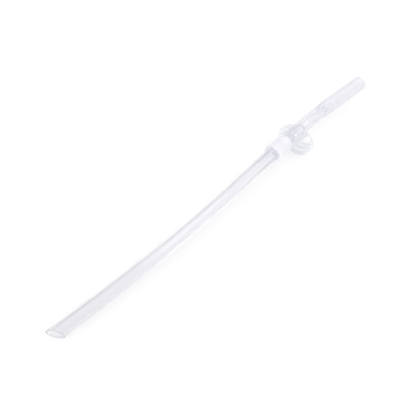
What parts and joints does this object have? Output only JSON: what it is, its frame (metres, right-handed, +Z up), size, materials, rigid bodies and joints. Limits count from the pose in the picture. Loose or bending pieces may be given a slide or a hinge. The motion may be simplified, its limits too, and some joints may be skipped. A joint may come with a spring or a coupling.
{
  "type": "saliva ejector tip",
  "caption": "Slim clear suction tip: bevelled curved tube in a white socket collar, clear hub with an off-centre vent plate, fluted shank and a frosted sleeve that plugs into a suction hose.",
  "frame": {"origin": "middle of the base of the tip's bounding box, on the surface that the tip lies on", "axes": "+Z up; the hub's axis is parallel to X, with the bevelled suction end towards +X and the hose end towards -X"},
  "size_m": [0.1726, 0.0196, 0.0126],
  "materials": {
    "clear_tube": "clear gloss",
    "white_collar": "translucent satin",
    "seal": "matt",
    "clear_hub": "clear mottled gloss",
    "clear_shank": "translucent gloss",
    "frosted_sleeve": "frosted"
  },
  "bodies": {
    "hub": {"hub_body": "clear_hub", "fluted_shank": "clear_shank"},
    "collar": {"socket_collar": "white_collar", "grip_ring": "seal"},
    "tube": {"suction_tube": "clear_tube"},
    "plate": {"vent_plate": "clear_hub"},
    "sleeve": {"end_sleeve": "frosted_sleeve"}
  },
  "joints": [
    {"name": "collar_swivel", "type": "hinge", "parent": "hub", "child": "collar", "pos_m": [-0.02696, -0.00054, 0.00642], "axis": [1, 0, 0], "continuous": true},
    {"name": "tube_pull", "type": "slide", "parent": "collar", "child": "tube", "axis": [1, 0, 0], "range_m": [0, 0.03]},
    {"name": "plate_turn", "type": "hinge", "parent": "hub", "child": "plate", "pos_m": [-0.03616, -0.00054, 0.00642], "axis": [1, 0, 0], "continuous": true},
    {"name": "sleeve_pull", "type": "slide", "parent": "hub", "child": "sleeve", "axis": [-0.9848, 0.1491, 0.089], "range_m": [0, 0.03]}
  ]
}
